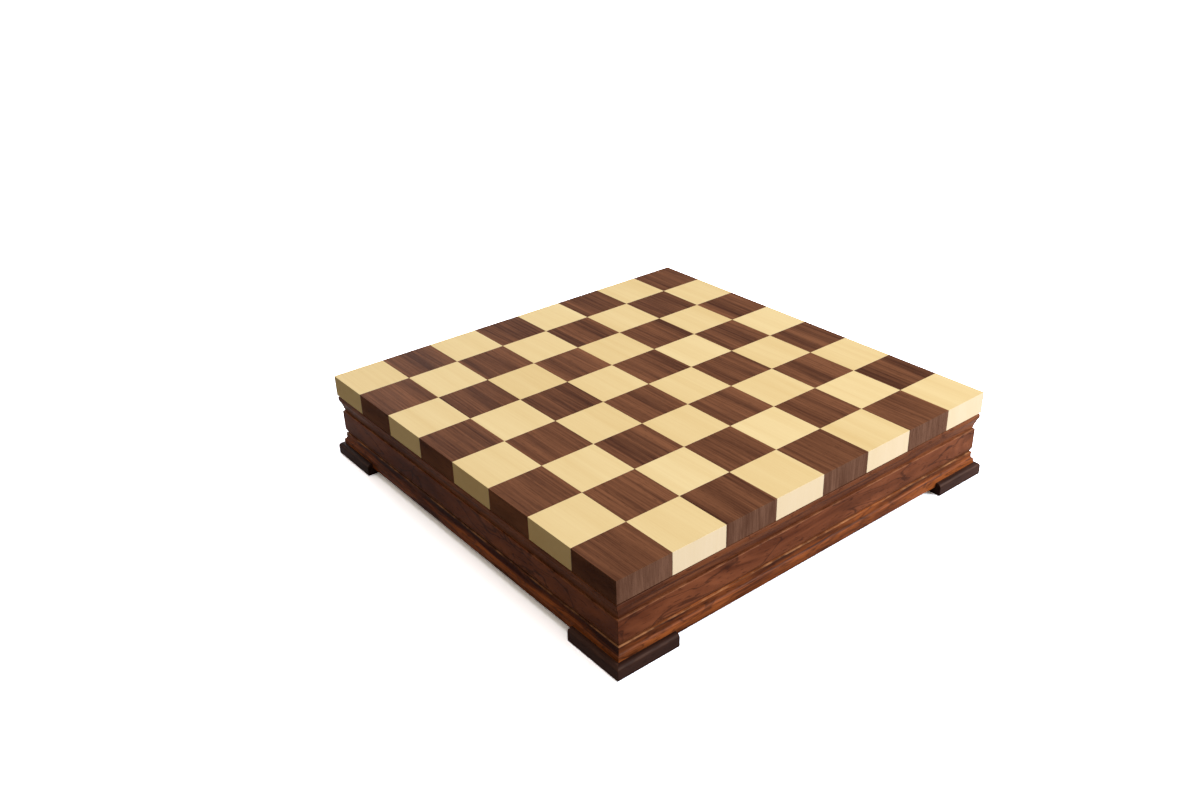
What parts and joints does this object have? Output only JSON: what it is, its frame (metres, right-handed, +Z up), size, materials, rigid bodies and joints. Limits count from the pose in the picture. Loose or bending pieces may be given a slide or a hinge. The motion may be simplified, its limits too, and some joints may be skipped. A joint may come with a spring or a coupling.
{
  "type": "multigame set",
  "caption": "Square wooden game box on bracket feet, with a lift-off chessboard top of solid blocks and lined, divided cells for men, draughts, dominoes, dice and cards.",
  "frame": {"origin": "on the floor, under the middle of the box", "axes": "+Z up; +X to the right along the front side; the front side faces -Y"},
  "size_m": [0.405, 0.405, 0.079],
  "materials": {
    "walnut": "satin lacquered walnut, long grain on top, end grain at the front and back",
    "maple": "satin lacquered maple, long grain on top, end grain at the front and back",
    "moulding_wood": "red-brown stained hardwood under satin lacquer",
    "burl_frieze": "figured red-brown wood under satin lacquer, plain wood inside",
    "dark_foot_wood": "very dark stained wood, satin",
    "batten_wood": "plain planed hardwood, oiled",
    "plywood": "thin birch plywood, unfinished underneath",
    "felt": "dark green pressed wool felt",
    "divider_wood": "red-brown stained hardwood, satin",
    "light_men_wood": "turned pale wood, satin",
    "dark_men_wood": "turned dark wood, satin",
    "ivory_plastic": "ivory-coloured moulded resin with black pips",
    "white_plastic": "white moulded resin with black pips",
    "red_card": "plain red lattice print on coated card",
    "blue_card": "plain blue lattice print on coated card"
  },
  "bodies": {
    "box": {"bottom_panel": "plywood", "felt_lining": "felt", "mitre_splines": "batten_wood", "front_long_divider": "divider_wood", "back_long_divider": "divider_wood", "dominoes": "ivory_plastic", "dice": "white_plastic", "red_card_pack": "red_card", "blue_card_pack": "blue_card", "light_draughts": "light_men_wood", "dark_draughts": "dark_men_wood", "front_side_board": "burl_frieze", "front_cornice": "moulding_wood", "front_base_moulding": "moulding_wood", "right_side_board": "burl_frieze", "right_cornice": "moulding_wood", "right_base_moulding": "moulding_wood", "back_side_board": "burl_frieze", "back_cornice": "moulding_wood", "back_base_moulding": "moulding_wood", "left_side_board": "burl_frieze", "left_cornice": "moulding_wood", "left_base_moulding": "moulding_wood", "front_left_foot": "dark_foot_wood", "front_right_foot": "dark_foot_wood", "back_left_foot": "dark_foot_wood", "back_right_foot": "dark_foot_wood", "cross_divider_1": "divider_wood", "cross_divider_2": "divider_wood", "cross_divider_3": "divider_wood", "cross_divider_4": "divider_wood", "light_rooks": "light_men_wood", "light_knights": "light_men_wood", "light_bishops": "light_men_wood", "light_queen": "light_men_wood", "light_king": "light_men_wood", "light_pawns": "light_men_wood", "dark_rooks": "dark_men_wood", "dark_knights": "dark_men_wood", "dark_bishops": "dark_men_wood", "dark_queen": "dark_men_wood", "dark_king": "dark_men_wood", "dark_pawns": "dark_men_wood"},
    "board": {"walnut_squares": "walnut", "maple_squares": "maple", "front_batten": "batten_wood", "right_batten": "batten_wood", "back_batten": "batten_wood", "left_batten": "batten_wood"}
  },
  "joints": [
    {"name": "board_lift", "type": "slide", "parent": "box", "child": "board", "axis": [0, 0, 1], "range_m": [0, 0.15]}
  ]
}
